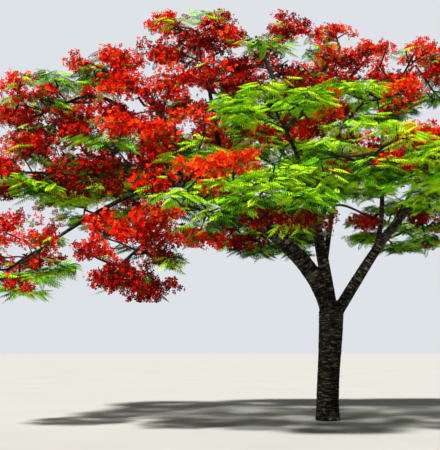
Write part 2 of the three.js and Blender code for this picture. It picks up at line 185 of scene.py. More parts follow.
trunk_line = [
    (0, 0, 0),
    (0, 0, FORK_HEIGHT * LOWER_STRETCH),
    (TRUNK_LEAN * LEAN_BY_THEN, 0, FORK_HEIGHT * (1 - UPPER_STRETCH)),
    (TRUNK_LEAN, 0, FORK_HEIGHT),
]
limbs = {"trunk": {"name": "trunk", "points": np.array(trunk_line), "span": FORK_HEIGHT}}
for _, name, parent_name, share, turn, slope, middle, spread, _, _ in CROWN:
    parent = limbs[parent_name]
    foot = on_curve(parent["points"], share)
    offset, foot_radius, tip_radius = MAIN_STEMS.get(name, ((0, 0), None, None))
    if parent_name == "trunk":
        foot = foot + [*offset, 0]
    middle = np.array(middle, float)
    arriving = unit(unit((middle - foot) * [1, 1, 0]) + slope * UP)
    tip = middle - ENTER * spread * arriving
    span = np.linalg.norm(tip - foot)
    straight = (tip - foot) / span
    leaving = unit(curve_heading(parent["points"], share) * (1 - turn) + straight * turn)
    parent_radius = float(radius_at(parent, share))
    if foot_radius is None:
        foot_radius = CHILD_GIRTH * parent_radius
        tip_radius = min(BOUGH_TIP_RADIUS, TIP_AT_MOST * foot_radius)
    start_handle = foot + LEAVE_HANDLE * span * leaving
    end_handle = tip - ARRIVE_HANDLE * span * arriving
    limbs[name] = {
        "name": name,
        "points": np.array([foot, start_handle, end_handle, tip]),
        "span": span,
        "girths": (foot_radius, tip_radius),
        "parent_radius": parent_radius,
        "arriving": arriving,
        "collar": 0 if name in MAIN_STEMS else COLLAR,
    }


def carried_frames(path):
    """Side vectors carried along a path: each is the last one, less its part along the way."""
    heading = unit(np.gradient(path, axis=0))
    side = np.array([1.0, 0, 0]) if abs(heading[0, 2]) > STEEP else UP
    sides = []
    for along in heading:
        side = unit(side - along * (side @ along))
        sides.append(side)
    sides = np.array(sides)
    return sides, np.cross(sides, heading)


def wall_faces(rings, sides):
    """The four-sided faces between a tube's rings, whose corners are counted round and then along."""
    i, j = np.meshgrid(np.arange(rings - 1), np.arange(sides), indexing="ij")
    k = (j + 1) % sides
    here, ahead = i * sides, (i + 1) * sides
    return np.stack([here + j, here + k, ahead + k, ahead + j], -1).reshape(-1, 4)


def round_angles(sides):
    """Angles that divide a circle evenly."""
    return np.arange(sides) * 2 * np.pi / sides


def tube(path, radii, sides):
    """A closed tube: ring centre + radius * (cos a * side + sin a * other), closed by a point at each
    end. path is (rings, 3) and radii is (rings,) or (rings, sides). Gives back corners, four-sided
    faces and three-sided faces."""
    rings = len(path)
    side, other = carried_frames(path)
    angle = round_angles(sides)
    radii = np.broadcast_to(np.reshape(radii, (rings, -1)), (rings, sides))[..., None]
    wall = path[:, None] + radii * (
        np.cos(angle)[None, :, None] * side[:, None] + np.sin(angle)[None, :, None] * other[:, None]
    )
    corners = np.concatenate([wall.reshape(-1, 3), path[:1], path[-1:]])
    j = np.arange(sides)
    k = (j + 1) % sides
    first, last = rings * sides, rings * sides + 1
    foot = np.stack([np.full(sides, first), k, j], -1)
    end = np.stack([np.full(sides, last), (rings - 1) * sides + j, (rings - 1) * sides + k], -1)
    return corners, wall_faces(rings, sides)[:, ::-1], np.concatenate([foot, end])[:, ::-1]


def joined(parts):
    """Several (corners, quads, triangles) as one: each part's faces count on from those before."""
    base = np.cumsum([0] + [len(p[0]) for p in parts[:-1]])
    corners = np.concatenate([p[0] for p in parts])
    quads = np.concatenate([p[1] + b for p, b in zip(parts, base)])
    triangles = np.concatenate([p[2] + b for p, b in zip(parts, base)])
    return corners, quads, triangles


def piece(name, corners, quads, triangles=(), smooth=True):
    """A mesh object from arrays: corners, then four-sided faces, then three-sided ones."""
    quads = np.reshape(quads, (-1, 4))
    triangles = np.reshape(np.asarray(triangles, int), (-1, 3))
    mesh = bpy.data.meshes.new(name)
    mesh.vertices.add(len(corners))
    mesh.vertices.foreach_set("co", np.ascontiguousarray(corners, np.float32).ravel())
    loops = np.concatenate([quads.ravel(), triangles.ravel()]).astype(np.int32)
    mesh.loops.add(len(loops))
    mesh.loops.foreach_set("vertex_index", loops)
    starts = np.concatenate([np.arange(len(quads)) * 4, quads.size + np.arange(len(triangles)) * 3])
    mesh.polygons.add(len(starts))
    mesh.polygons.foreach_set("loop_start", starts.astype(np.int32))
    mesh.polygons.foreach_set("use_smooth", np.full(len(starts), smooth))
    mesh.update(calc_edges=True)
    mesh.validate()
    obj = bpy.data.objects.new(name, mesh)
    bpy.context.scene.collection.objects.link(obj)
    return obj


def mark(obj, name, values):
    """A number at each corner of the mesh, kept under that name for its material."""
    obj.data.attributes.new(name, "FLOAT", "POINT").data.foreach_set("value", values.astype(np.float32))


# Bark
# Thin grey-brown bark, fairly smooth, wrinkled in level folds where the limb has bent and swollen,
# with fine pale pores in level rows. It is one skin over the trunk, the four stems and the collars
# of the boughs: the limbs are merged, their forks are softened, and the folds are raised on it.

SKIN_STEP = 0.016  # the width of the merged skin's faces
LIMB_RINGS = 60
LIMB_SIDES = 40
STUB_LENGTH = 0.5  # how much of a side bough's foot is in the skin
STUB_RINGS = 14
STUB_SIDES = 20
STUB_FADE = (1.05, 0.9)  # from proud of the bough at its foot to inside it
PLACES_ON_LIMB = 90
PATTERN_SHIFT = 7.3  # between the bark patterns of one limb and the next
BLOCK = 4000  # points worked out at a time
FLAT_FOOT = 0.75  # what is lower than this share of a face is laid on the ground

EASE = 0.5  # how far a point moves towards its neighbours' mean
SKIN_EASINGS = 2
FORK_EASINGS = 11
FORK_REACH = 1.6  # in radii of the bough that leaves, and FORK_MARGIN more
FORK_MARGIN = 0.03
FORK_FULL = 1.6  # how much the nearness is raised before it is cut off at 1

FOLD_SPACING = 0.065
FOLD_HEIGHT = 0.03  # as a share of the limb's radius
FOLD_LEVEL = 0.4  # the relief that stays on the limb's own surface
UNFOLDED = 0.55  # what the noise that breaks up the folds has to pass
WRINKLE_STRETCH = 2.5

# Noise in the folds: its cells to the metre and its strength.
SLOW_SHIFT = (3.1, 1.3)
QUICK_SHIFT = (8.3, 0.5)
BREAKS = (4.7, 2.2)
WRINKLES = (11, 0.7)
SWELLINGS = (2.3, 0.9)

# The bark's dark, pale and pore tones: its own grey-brown, darkened overall as painted shade of the
# crown.
BARK_TONES = ((0.0012, 0.0009, 0.0006), (0.015, 0.012, 0.0075), (0.27, 0.23, 0.165))
BARK_BUMP = 1.0
RIDGE_SCALE = 6.0
RIDGE_STRETCH = 6  # how far the way along the limb counts besides the place
PORE_SCALE = 15.0
PORE_STRETCH = 2.6
PATCH_SCALE = 2.6

# The bands of noise, or of relief, over which each effect comes in, and how strong it is there.
WOOD_BAND = (0.3, 0.6)
RIDGE_BAND = (0.53, 0.6)
PATCH_BAND = (0.5, 0.72)
HOLLOW_BAND = (-0.1, 0.5)
PORE_BAND = (0.6, 0.68)
RIDGE_PALE = 0.75
PATCH_PALE = 0.3
HOLLOW_DARK = 0.75
PORE_PALE = 0.55
HOLLOW_SHADE = 0.3  # the colour of the painted shade in the hollows, as a share of the dark one
RIDGE_RAISE = 1.2
PORE_RAISE = 0.3

main_names = ["trunk", *MAIN_STEMS]
side_names = [row[1] for row in CROWN if row[1] not in MAIN_STEMS]

parts = []
for name in main_names:
    limb = limbs[name]
    t = np.linspace(0, 1, LIMB_RINGS)
    radii = radius_at(limb, t[:, None], round_angles(LIMB_SIDES)[None])
    parts.append(tube(on_curve(limb["points"], t), radii, LIMB_SIDES))
for name in side_names:
    limb = limbs[name]
    t = np.linspace(0, STUB_LENGTH / limb["span"], STUB_RINGS)
    radii = radius_at(limb, t) * np.linspace(*STUB_FADE, STUB_RINGS)
    parts.append(tube(on_curve(limb["points"], t), radii, STUB_SIDES))

rough = piece("rough_skin", *joined(parts))
remesh = rough.modifiers.new("merge", "REMESH")
remesh.mode = "VOXEL"
remesh.voxel_size = SKIN_STEP
merged = bpy.data.meshes.new_from_object(rough.evaluated_get(bpy.context.evaluated_depsgraph_get()))
bpy.data.objects.remove(rough)


def taken(items, field, kind, width):
    """One field of all the mesh's items, as an array with that many numbers for each."""
    values = np.empty(len(items) * width, kind)
    items.foreach_get(field, values)
    return values.reshape(-1, width)


skin = taken(merged.vertices, "co", np.float32, 3).astype(float)
edges = taken(merged.edges, "vertices", np.int32, 2)
skin_faces = taken(merged.loops, "vertex_index", np.int32, 1).reshape(-1, 4)
bpy.data.meshes.remove(merged)


def by_block(points, work_out):
    """What work_out gives for the points, a block of them at a time, joined again."""
    blocks = np.array_split(points, max(1, len(points) // BLOCK))
    return np.concatenate([work_out(block) for block in blocks])


def squared_gaps(points, others):
    """The squared distance from each point to each of the others."""
    return ((points[:, None] - others[None]) ** 2).sum(-1)


def nearest_on_limbs(points, names):
    """For each point: how far along the nearest limb it is, in metres, and that limb's radius there."""
    places, lengths, radii = [], [], []
    t = np.linspace(0, 1, PLACES_ON_LIMB)
    for order, name in enumerate(names):
        path = on_curve(limbs[name]["points"], t)
        steps = np.linalg.norm(np.diff(path, axis=0), axis=1)
        places.append(path)
        lengths.append(order * PATTERN_SHIFT + np.concatenate([[0], np.cumsum(steps)]))
        radii.append(radius_at(limbs[name], t))
    places, lengths, radii = map(np.concatenate, (places, lengths, radii))
    best = by_block(points, lambda block: np.argmin(squared_gaps(block, places) - radii**2, axis=1))
    return lengths[best], radii[best]


def fork_nearness(points):
    """From 0 to 1 at the middle of a fork: the largest bell curve of the distance to a bough's foot."""
    names = [*MAIN_STEMS, *side_names]
    feet = np.array([limbs[name]["points"][0] for name in names])
    reach = FORK_REACH * np.array([limbs[name]["girths"][0] for name in names]) + FORK_MARGIN
    return by_block(points, lambda block: np.max(np.exp(-squared_gaps(block, feet) / reach**2), axis=1))


def eased(points, weight, times):
    """Each point moved towards the mean of its neighbours by its weight, a number of times over."""
    here, there = np.concatenate([edges, edges[:, ::-1]]).T
    count = np.bincount(here, minlength=len(points))[:, None]
    for _ in range(times):
        total = [np.bincount(here, points[there, k], len(points)) for k in range(3)]
        points = points + weight[:, None] * (np.stack(total, -1) / count - points)
    return points


along, girth = nearest_on_limbs(skin, main_names)
fork_ease = EASE * np.clip(fork_nearness(skin) * FORK_FULL, 0, 1)
skin = eased(skin, np.full(len(skin), EASE), SKIN_EASINGS)
skin = eased(skin, fork_ease, FORK_EASINGS)


def lattice(*cells):
    """An even random number from 0 to 1 for each whole-numbered cell."""
    x = np.sin(sum(c * k for c, k in zip(cells, (12.9898, 78.233, 37.719)))) * 43758.5453
    return x - np.floor(x)


def soft_noise(points, scale, strength):
    """Value noise from 0 to its strength: the random numbers of the eight cells round a point,
    smoothly mixed."""
    p = points * scale
    base = np.floor(p)
    f = p - base
    f = f * f * (3 - 2 * f)
    total = 0
    for corner in np.ndindex(2, 2, 2):
        weight = np.prod(np.where(corner, f, 1 - f), axis=-1)
        total = total + weight * lattice(*(base + corner).T)
    return strength * total


def folds(points, along):
    """The relief of the bark: level folds, fine wrinkles and slow swellings. A fold is the square of
    a sine along the limb, shifted by noise, times other noise that breaks it up."""
    shift = soft_noise(points, *SLOW_SHIFT) + soft_noise(points, *QUICK_SHIFT)
    wave = 0.5 + 0.5 * np.sin(2 * np.pi * (along / FOLD_SPACING + shift))
    broken = np.clip(soft_noise(points, *BREAKS) - UNFOLDED, 0, 1)
    fine = soft_noise(points + along[:, None] * [0, 0, WRINKLE_STRETCH], *WRINKLES)
    swelling = soft_noise(points, *SWELLINGS)
    return wave**2 * broken + (fine - WRINKLES[1] / 2) + (swelling - SWELLINGS[1] / 2)


def outward(points, faces):
    """Each point's normal: the sum of its faces' cross products of diagonals, made unit."""
    a, b, c, d = points[faces.T]
    normal = np.cross(c - a, d - b)
    total = [sum(np.bincount(corner, n, len(points)) for corner in faces.T) for n in normal.T]
    return unit(np.stack(total, -1))


relief = folds(skin, along)
skin = skin + outward(skin, skin_faces) * (FOLD_HEIGHT * girth * (relief - FOLD_LEVEL))[:, None]
skin[:, 2] = np.where(skin[:, 2] < FLAT_FOOT * SKIN_STEP, 0, skin[:, 2])

trunk_skin = piece("trunk_and_stems", skin, skin_faces)
mark(trunk_skin, "along", along)
mark(trunk_skin, "relief", relief)


class Socket:
    """A node socket that Python's operators work on, each adding its Math node."""

    def __init__(self, tree, link):
        self.tree = tree
        self.link = link

    def node(self, kind, settings=(), out=0, **values):
        """A node of that kind: its settings first, then its inputs by name, as values or as sockets."""
        made = self.tree.nodes.new("ShaderNode" + kind)
        for key, value in dict(settings).items():
            setattr(made, key, value)
        for key, value in values.items():
            socket = made.inputs[int(key[1:]) if key[1:].isdigit() else key.replace("_", " ")]
            if isinstance(value, Socket):
                self.tree.links.new(value.link, socket)
            else:
                socket.default_value = value
        return Socket(self.tree, made.outputs[out])

    def maths(self, operation, first, second):
        """A Math node on two values: add, subtract or multiply."""
        return self.node("Math", {"operation": operation}, _0=first, _1=second)

    def __add__(self, other):
        return self.maths("ADD", self, other)

    def __sub__(self, other):
        return self.maths("SUBTRACT", self, other)

    def __rsub__(self, other):
        return self.maths("SUBTRACT", other, self)

    def __mul__(self, other):
        return self.maths("MULTIPLY", self, other)

    __radd__ = __add__
    __rmul__ = __mul__

    def clamped(self, low, high):
        """The value's place between low and high, held to 0 and 1."""
        return self.node("MapRange", {"clamp": True}, Value=self, From_Min=low, From_Max=high)

    def blend(self, a, b):
        """Colour a where this is 0 and colour b where it is 1."""
        a, b = (c if isinstance(c, Socket) else (*c, 1) for c in (a, b))
        return self.node("Mix", {"data_type": "RGBA"}, out=2, _0=self, _6=a, _7=b)

    def stretched(self, scale):
        """The place with each of its three numbers multiplied by its own scale."""
        return self.node("VectorMath", {"operation": "MULTIPLY"}, _0=self, _1=scale)

    def noise(self, scale, detail):
        """Noise from 0 to 1 at this place, with that many cells to the metre and finer ones in it."""
        return self.node("TexNoise", Vector=self, Scale=scale, Detail=detail)


def material(name, roughness, gloss):
    """A new material: itself, its Object coordinates, and a way to feed its Principled shader."""
    made = bpy.data.materials.new(name)
    made.use_nodes = True
    tree = made.node_tree
    shader = tree.nodes["Principled BSDF"]
    shader.inputs["Roughness"].default_value = roughness
    shader.inputs["Specular IOR Level"].default_value = gloss
    place = Socket(tree, None).node("TexCoord", out="Object")

    def feed(**links):
        for key, value in links.items():
            tree.links.new(value.link, shader.inputs[key.replace("_", " ")])

    return made, place, feed


def attribute(place, name):
    """The number that mark kept under that name."""
    return place.node("Attribute", {"attribute_name": name}, out=2)


def bark_material(name, dark, pale, pore, bump_strength):
    """Dark bark in pale level ridges: noise on the place, with the way along the limb added to its
    height, so that it is far finer along the limb than round it. Rows of pores and weathered patches
    lie on it, and the hollows of the folds are darkened with painted shade."""
    made, place, feed = material(name, roughness=0.85, gloss=0.1)
    level = place.node("CombineXYZ", Z=attribute(place, "along")).stretched((1, 1, RIDGE_STRETCH))
    round_limb = place.node("VectorMath", {"operation": "ADD"}, _0=place, _1=level)
    wrinkles = round_limb.noise(RIDGE_SCALE, detail=4.0)
    pores = round_limb.stretched((1, 1, PORE_STRETCH)).noise(PORE_SCALE, detail=2.0)
    pores = pores.clamped(*PORE_BAND)
    patches = place.noise(PATCH_SCALE, detail=4.0).clamped(*PATCH_BAND)
    # Painted shade: where the relief is low, in the hollows of the folds, the colour darkens towards a
    # shade of the dark tone.
    painted_hollow_shade = 1 - attribute(place, "relief").clamped(*HOLLOW_BAND)
    colour = wrinkles.clamped(*WOOD_BAND).blend(dark, pale)
    colour = (wrinkles.clamped(*RIDGE_BAND) * RIDGE_PALE).blend(colour, pore)
    colour = (patches * PATCH_PALE).blend(colour, pore)
    colour = (painted_hollow_shade * HOLLOW_DARK).blend(colour, tuple(HOLLOW_SHADE * c for c in dark))
    colour = (pores * PORE_PALE).blend(colour, pore)
    height = wrinkles * RIDGE_RAISE + pores * PORE_RAISE
    bump = place.node("Bump", Strength=bump_strength, Distance=0.03, Height=height)
    feed(Base_Color=colour, Normal=bump, Roughness=wrinkles * 0.2 + 0.74)
    return made


trunk_skin.data.materials.append(bark_material("bark", *BARK_TONES, BARK_BUMP))
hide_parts(*main_names)
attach(trunk_skin, "root")


# The side boughs
# Each is one tapering limb that grows out of its collar on a stem, arches to its mass of foliage
# and ends where it enters it. Their bark is smoother and paler than the stems'.

BOUGH_SIDES = 14
BOUGH_RING_STEP = 0.035
BOUGH_FOLDS = 2.2  # times as high for their girth as the trunk's
BOUGH_PATTERN_SHIFT = 3.7
BOUGH_TONES = ((0.0025, 0.002, 0.0013), (0.022, 0.0175, 0.012), (0.18, 0.15, 0.105))
BOUGH_BUMP = 0.8

parts, bough_along, bough_relief = [], [], []
for order, name in enumerate(side_names):
    limb = limbs[name]
    t = np.linspace(0, 1, int(limb["span"] / BOUGH_RING_STEP))
    path = on_curve(limb["points"], t)
    corners, quads, triangles = tube(path, radius_at(limb, t), BOUGH_SIDES)
    middle = np.concatenate([np.repeat(path, BOUGH_SIDES, axis=0), path[:1], path[-1:]])
    length = np.concatenate([np.repeat(t * limb["span"], BOUGH_SIDES), [0, limb["span"]]])
    raised = folds(corners, length)
    height = BOUGH_FOLDS * FOLD_HEIGHT * (raised - FOLD_LEVEL)
    corners = corners + (corners - middle) * height[:, None]
    parts.append((corners, quads, triangles))
    bough_along.append(length + order * BOUGH_PATTERN_SHIFT)
    bough_relief.append(raised)

boughs = piece("side_boughs", *joined(parts))
mark(boughs, "along", np.concatenate(bough_along))
mark(boughs, "relief", np.concatenate(bough_relief))
boughs.data.materials.append(bark_material("bough_bark", *BOUGH_TONES, BOUGH_BUMP))
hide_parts(*side_names)
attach(boughs, "root")


# The twigs
# Each mass of foliage grows from one stem that carries on from its bough. Five twigs reach from it
# to points spread round it by the golden angle. Finer branches go on from those to clumps all
# through the mass's own space, and each clump is a few branchlets that end in fans of shoots.

GOLDEN_ANGLE = np.pi * (3 - np.sqrt(5))
ANY_TURN = 6  # radians: the first of a ring may point almost any way
FLATTEN = 1.5  # how much more height counts than width in the borders between masses
PLACES_ON_BOUGH = 40
FINE_TAPER = 0.6  # the end of a branch, branchlet or shoot, as a share of its foot

STEM_RADIUS = 0.032
STEM_SUNK = 0.02
STEM_REACH = 0.3
STEM_BUDS = np.linspace(0.1, 1, 8)  # where branches may start along it
TWIGS = 5
TWIG_RADIUS = 0.019
TWIG_TAPER = 0.85
TWIG_TOP = 0.85  # how high the highest twig aims, and the drop over them all
TWIG_DROP = 1.5
TWIG_REACH = 0.5
TWIG_RISE = 0.75
TWIG_LEAD = 0.35  # how far a twig's foot stays behind its tip, as a share of the stem
TWIG_FEET = (0.15, 0.92)
TWIG_CUTS = (1, 0.85, 0.7, 0.55)  # its length, or the first of these shares that stays inside
TWIG_ARCH = 0.08
TWIG_BUDS = np.linspace(0.3, 1, 7)

CLUMPS_PER_CUBIC_METRE = 1.75
FEWEST_CLUMPS = 5
FULL_HEIGHT = 3.2  # masses lower than this have fewer clumps, by their share of it
CLUMP_TOP = 0.93
CLUMP_SHELL = (0.54, 0.34)  # how near the mass's skin: the least, and what a draw may add
CLUMP_ROOM = 0.12
SHELL_DRAWS = 5000  # where in its mass's draws those for the shell and for the blossom begin
BLOOM_DRAWS = 31
DOWNHILL = 0.5  # what a metre down costs a branch, besides its length
BLOOM_UPWARDS = 0.5  # how much sooner the higher clumps of a mass flower
BRANCH_RADIUS = 0.03
BRANCH_GIRTH = (0.7, 0.4)  # of that radius: a share, and what each metre of length adds
BRANCH_ARCH = -0.1

BRANCHLETS = 4
BRANCHLET_RADIUS = 0.018
BRANCHLET_FEET = (0.95, 0.13)  # the first one's place on the branch, and the step back to the next
BRANCHLET_ARCH = 0.04
BRANCHLET_ROOM = 0.1
MIXED = 0.08  # the share of branchlets that differ from their clump in leaf or flower
CLUMP_RADIUS = 0.37
CLUMP_START = 0.6  # how far out the first branchlet stands, in steps of even area
CLUMP_HEIGHT = 0.3
CLUMP_BELOW = 0.45  # the share of its height that lies below its middle

SHOOTS = 7
SHOOT_RADIUS = 0.006
SHOOT_BACK = 0.3  # how far back along its branchlet a shoot may start
SHOOT_ARCH = 0.03
SHOOT_EASE = 1.04
SHOOT_ROOM = 0.05
FAN_REACH = 0.36
FAN_LENGTHS = (0.45, 0.55)  # of that reach: the least, and what a draw may add
FAN_TOP = 0.95
FAN_DROP = 1.6
FAN_OUTWARD = 0.35  # how far a fan is shifted out from the mass's middle, in reaches
OUTWARD_FLATTEN = 0.6
FLOWERING_FAN_HEIGHT = 0.6
LEAFY_FAN_HEIGHT = 0.22
LEAFY_FAN_RISE = 0.1

# Sides and rings of the tubes.
BRANCH_TUBES = (6, 6)
BRANCHLET_TUBES = (4, 4)
SHOOT_TUBES = (3, 3)

TWIG_TONES = ((0.010, 0.008, 0.006), (0.026, 0.022, 0.013))
TWIG_TONE_SCALE = 4.0
TWIG_BUMP_SCALE = 60.0

mass_names = [row[0] for row in CROWN]
MIDDLE = np.array([row[6] for row in CROWN], float)
SPREAD = np.array([row[7] for row in CROWN], float)
DEPTH = np.array([row[8] for row in CROWN], float)
BLOOM = np.array([row[9] for row in CROWN], float)


def chance(seed, n):
    """The seeded rule that all growth follows: an even number from 0 to 1 for the n-th draw. The seed
    tells one mass, or one kind of draw, from another."""
    x = np.sin(seed * 12.9898 + np.asarray(n) * 78.233) * 43758.5453
    return x - np.floor(x)


def drawn(least, more, seed, n):
    """A number from least upwards, to which the n-th draw adds a share of more."""
    return least + more * chance(seed, n)


def ways_round(turn, lift):
    """Unit directions: (cos turn * level, sin turn * level, lift), where level squared is what lift
    squared leaves of 1."""
    level = np.sqrt(1 - lift**2)
    east, north = np.cos(turn) * level, np.sin(turn) * level
    return np.stack([east, north, np.broadcast_to(lift, east.shape)], -1)


def on_bend(start, bend, end, t):
    """A two-armed curve: its start, bend and end, each weighted by its Bernstein share at t."""
    return (1 - t) ** 2 * start + 2 * (1 - t) * t * bend + t**2 * end


def inside(points, k, ease=1.0):
    """Whether points lie in mass k's rounded space, and on its side of the planes to its neighbours."""
    from_middle = (points - MIDDLE[k]) / np.stack([SPREAD[k], SPREAD[k], DEPTH[k]], -1)
    rounded = (from_middle**2).sum(-1) < ease**2
    steps = (points[..., None, :] - MIDDLE) * [1, 1, FLATTEN]
    nearness = (steps**2).sum(-1) - SPREAD**2
    return rounded & (np.argmin(nearness, axis=-1) == k)


t = np.linspace(0, 1, PLACES_ON_BOUGH)
limb_points = np.concatenate([on_curve(limb["points"], t) for limb in limbs.values()])
limb_girths = np.concatenate([radius_at(limb, t) for limb in limbs.values()])


def clear_of_limbs(points, room):
    """Whether each point keeps that much room to every limb's skin."""

    def clear(block):
        away = np.linalg.norm(block[:, None] - limb_points[None], axis=-1)
        return np.all(away > limb_girths + room, axis=1)

    return by_block(points, clear)


wood = []  # start, bend, end, radius at the start and radius at the end
branches = []  # foot, end, mass and whether it flowers
for k, row in enumerate(CROWN):
    seed = k + 1
    bough = limbs[row[1]]
    start, heading = bough["points"][3], bough["arriving"]
    end = MIDDLE[k] + heading * STEM_REACH * SPREAD[k]
    foot = start - STEM_SUNK * heading
    wood.append((foot, (start + end) / 2, end, bough["girths"][1], STEM_RADIUS))
    bearers = [start + (end - start) * s for s in STEM_BUDS]
    for i in range(TWIGS):
        height = TWIG_TOP - TWIG_DROP * (i + 0.5) / TWIGS
        around = GOLDEN_ANGLE * i + 2 * np.pi * chance(seed, 0)
        out = np.sqrt(1 - height**2) * SPREAD[k] * TWIG_REACH
        aim = MIDDLE[k] + [np.cos(around) * out, np.sin(around) * out, height * DEPTH[k] * TWIG_RISE]
        reached = (aim - start) @ heading / np.linalg.norm(end - start)
        foot = start + (end - start) * np.clip(reached - TWIG_LEAD, *TWIG_FEET)
        fits = [s for s in TWIG_CUTS if inside(foot + (aim - foot) * s, k)]
        if fits:
            tip = foot + (aim - foot) * fits[0]
            bend = (foot + tip) / 2 + UP * TWIG_ARCH * np.linalg.norm(tip - foot)
            wood.append((foot, bend, tip, TWIG_RADIUS, TWIG_RADIUS * TWIG_TAPER))
            bearers += [foot + (tip - foot) * s for s in TWIG_BUDS]
    bearers = np.array(bearers)

    volume = 4 / 3 * np.pi * SPREAD[k] ** 2 * DEPTH[k]
    fullness = min(1, MIDDLE[k][2] / FULL_HEIGHT)
    count = max(FEWEST_CLUMPS, int(CLUMPS_PER_CUBIC_METRE * volume * fullness))
    n = np.arange(count)
    height = CLUMP_TOP - 2 * CLUMP_TOP * (n + 0.5) / count
    aims = ways_round(GOLDEN_ANGLE * n + ANY_TURN * chance(seed, 7), height)
    aims = aims * drawn(*CLUMP_SHELL, seed, SHELL_DRAWS + n)[:, None]
    aims = MIDDLE[k] + aims * [SPREAD[k], SPREAD[k], DEPTH[k]]
    aims = aims[inside(aims, k)]
    climb = aims[:, None] - bearers[None]
    cost = np.linalg.norm(climb, axis=-1) + DOWNHILL * np.maximum(0, -climb[..., 2])
    feet = bearers[np.argmin(cost, axis=1)]
    grows = clear_of_limbs(aims, CLUMP_ROOM) & clear_of_limbs((aims + feet) / 2, 0.0)
    feet, aims = feet[grows], aims[grows]
    lot = chance(seed, BLOOM_DRAWS + np.arange(len(aims)))
    lot = lot - BLOOM_UPWARDS * (aims[:, 2] - MIDDLE[k][2]) / DEPTH[k]
    flowers = np.argsort(np.argsort(lot)) < np.floor(BLOOM[k] * (len(aims) + 0.5))
    branches += [(*foot, *aim, k, bears) for foot, aim, bears in zip(feet, aims, flowers)]

branches = np.array(branches)
foot, end, clump_host = branches[:, :3], branches[:, 3:6], branches[:, 6].astype(int)
clump_flowers = branches[:, 7] > 0
far = np.linalg.norm(end - foot, axis=1)
bend = (foot + end) / 2 + UP * (BRANCH_ARCH * far)[:, None]
foot_radius = BRANCH_RADIUS * (BRANCH_GIRTH[0] + BRANCH_GIRTH[1] * far)
wood += list(zip(foot, bend, end, foot_radius, FINE_TAPER * foot_radius))

n = np.arange(BRANCHLETS)
draw = np.arange(len(branches))[:, None] * BRANCHLETS + n
turn = GOLDEN_ANGLE * n + ANY_TURN * chance(37, draw[:, :1])
out = CLUMP_RADIUS * np.sqrt((n + CLUMP_START) / BRANCHLETS)
up = CLUMP_HEIGHT * (chance(38, draw) - CLUMP_BELOW)
offset = np.stack([np.cos(turn) * out, np.sin(turn) * out, up], -1)
t = (BRANCHLET_FEET[0] - BRANCHLET_FEET[1] * n)[:, None]
foot = on_bend(foot[:, None], bend[:, None], end[:, None], t).reshape(-1, 3)
end = (end[:, None] + offset).reshape(-1, 3)
clump = np.repeat(np.arange(len(branches)), BRANCHLETS)
grows = inside(end, clump_host[clump]) & clear_of_limbs(end, BRANCHLET_ROOM)
foot, end, clump = foot[grows], end[grows], clump[grows]
host = clump_host[clump]
number = np.arange(len(foot))
flowering = clump_flowers[clump] ^ (chance(39, number) < MIXED)
rise = (end[:, 2] - MIDDLE[host, 2]) / DEPTH[host]
thin = np.full(len(foot), BRANCHLET_RADIUS)
branchlets = list(zip(foot, (foot + end) / 2 + UP * BRANCHLET_ARCH, end, thin, FINE_TAPER * thin))

n = np.arange(SHOOTS)
draw = number[:, None] * SHOOTS + n
turn = GOLDEN_ANGLE * n + ANY_TURN * chance(33, number)[:, None]
way = ways_round(turn, FAN_TOP - FAN_DROP * (n + 0.5) / SHOOTS)
way[..., 2] *= np.where(flowering, FLOWERING_FAN_HEIGHT, LEAFY_FAN_HEIGHT)[:, None]
outward_way = unit((end - MIDDLE[host]) * [1, 1, OUTWARD_FLATTEN])
reach = FAN_REACH * drawn(*FAN_LENGTHS, 34, draw)
shoot_tip = end[:, None] + reach[..., None] * way + FAN_OUTWARD * FAN_REACH * outward_way[:, None]
shoot_tip = shoot_tip + UP * np.where(flowering, 0, LEAFY_FAN_RISE)[:, None, None]
shoot_foot = end[:, None] + (SHOOT_BACK * chance(35, draw))[..., None] * (foot - end)[:, None]
bearer = np.repeat(number, SHOOTS)
shoot_tip, shoot_foot = shoot_tip.reshape(-1, 3), shoot_foot.reshape(-1, 3)
grows = inside(shoot_tip, host[bearer], SHOOT_EASE) & clear_of_limbs(shoot_tip, SHOOT_ROOM)
shoot_tip, shoot_foot, bearer = shoot_tip[grows], shoot_foot[grows], bearer[grows]
shoot_bend = (shoot_foot + shoot_tip) / 2 + UP * SHOOT_ARCH
thin = np.full(len(shoot_tip), SHOOT_RADIUS)
shoots = list(zip(shoot_foot, shoot_bend, shoot_tip, thin, FINE_TAPER * thin))


def wood_tubes(stretches, sides, rings):
    """All stretches at once: each a tube along a two-armed curve through its start, bend and end."""
    start, bend, end = (np.array([s[i] for s in stretches]) for i in range(3))
    first, last = (np.array([s[i] for s in stretches])[:, None] for i in (3, 4))
    t = np.linspace(0, 1, rings)[None, :, None]
    path = on_bend(start[:, None], bend[:, None], end[:, None], t)
    heading = unit(end - start)
    steep = np.abs(heading[:, 2:]) > STEEP
    across = unit(np.cross(heading, np.where(steep, [[1.0, 0, 0]], UP[None])))
    other = np.cross(heading, across)
    angle = round_angles(sides)
    ring = np.cos(angle)[:, None] * across[:, None] + np.sin(angle)[:, None] * other[:, None]
    radius = first + (last - first) * t[:, :, 0]
    corners = path[:, :, None] + radius[..., None, None] * ring[:, None]
    base = np.arange(len(stretches))[:, None] * rings * sides
    quads = wall_faces(rings, sides)[None] + base[..., None]
    tips = (rings - 1) * sides + base
    fans = tips[:, :, None] + np.array([[0, c, c + 1] for c in range(1, sides - 1)])[None]
    return corners.reshape(-1, 3), quads.reshape(-1, 4), fans.reshape(-1, 3)


tubes = [
    wood_tubes(wood, *BRANCH_TUBES),
    wood_tubes(branchlets, *BRANCHLET_TUBES),
    wood_tubes(shoots, *SHOOT_TUBES),
]
twigs = piece("twigs", *joined(tubes))


